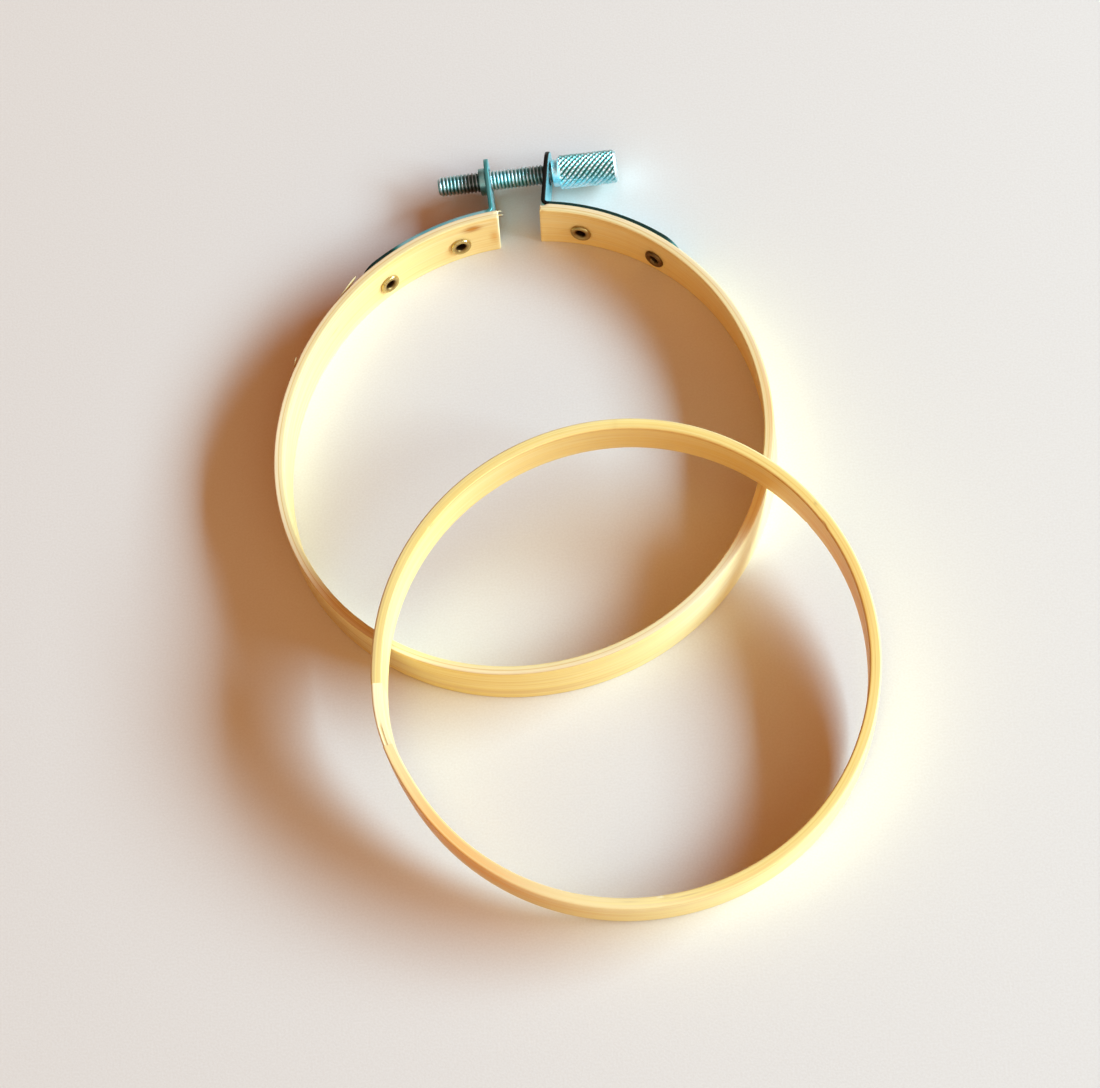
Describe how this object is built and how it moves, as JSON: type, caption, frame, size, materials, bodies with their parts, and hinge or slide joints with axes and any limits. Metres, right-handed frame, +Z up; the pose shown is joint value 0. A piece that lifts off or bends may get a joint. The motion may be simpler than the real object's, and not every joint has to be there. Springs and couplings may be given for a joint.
{
  "type": "embroidery hoop",
  "caption": "Round bamboo embroidery hoop: an open outer ring with riveted strap brackets and a thumb screw clamp, and a closed inner ring leaning on its rim.",
  "frame": {"origin": "under the middle of the whole object's bounding box, on the table", "axes": "+Z up from the table, +Y towards the adjusting gap and its screw, +X to the right with the screw's knurled head on that side"},
  "size_m": [0.1228, 0.1788, 0.026],
  "materials": {
    "bamboo": "satin, lightly lacquered",
    "zinc_steel": "bright zinc plate",
    "eyelet_brass": "dull plated"
  },
  "bodies": {
    "outer_hoop": {"outer_ring_left": "bamboo", "left_bracket": "zinc_steel", "press_nut": "zinc_steel", "left_rivet_near_gap": "eyelet_brass", "left_rivet_far": "eyelet_brass"},
    "right_end": {"outer_ring_right": "bamboo", "right_bracket": "zinc_steel", "right_rivet_near_gap": "eyelet_brass", "right_rivet_far": "eyelet_brass"},
    "screw": {"thumb_screw": "zinc_steel"},
    "inner_hoop": {"inner_ring": "bamboo"}
  },
  "joints": [
    {"name": "hoop_flex", "type": "hinge", "parent": "outer_hoop", "child": "right_end", "pos_m": [-0.0091, -0.03733, 0.0055], "axis": [0, 0, 1], "range_deg": [-2, 4]},
    {"name": "screw_turn", "type": "hinge", "parent": "right_end", "child": "screw", "pos_m": [-0.00908, 0.08436, 0.0055], "axis": [-0.9994, -0.0349, 0], "range_deg": [-1915, 3830]},
    {"name": "inner_ring_lift", "type": "slide", "parent": "outer_hoop", "child": "inner_hoop", "axis": [0, 0, 1], "range_m": [0, 0.08]}
  ],
  "couplings": [
    {"joint": "screw_turn", "follows": "hoop_flex", "ratio": 955.75}
  ]
}
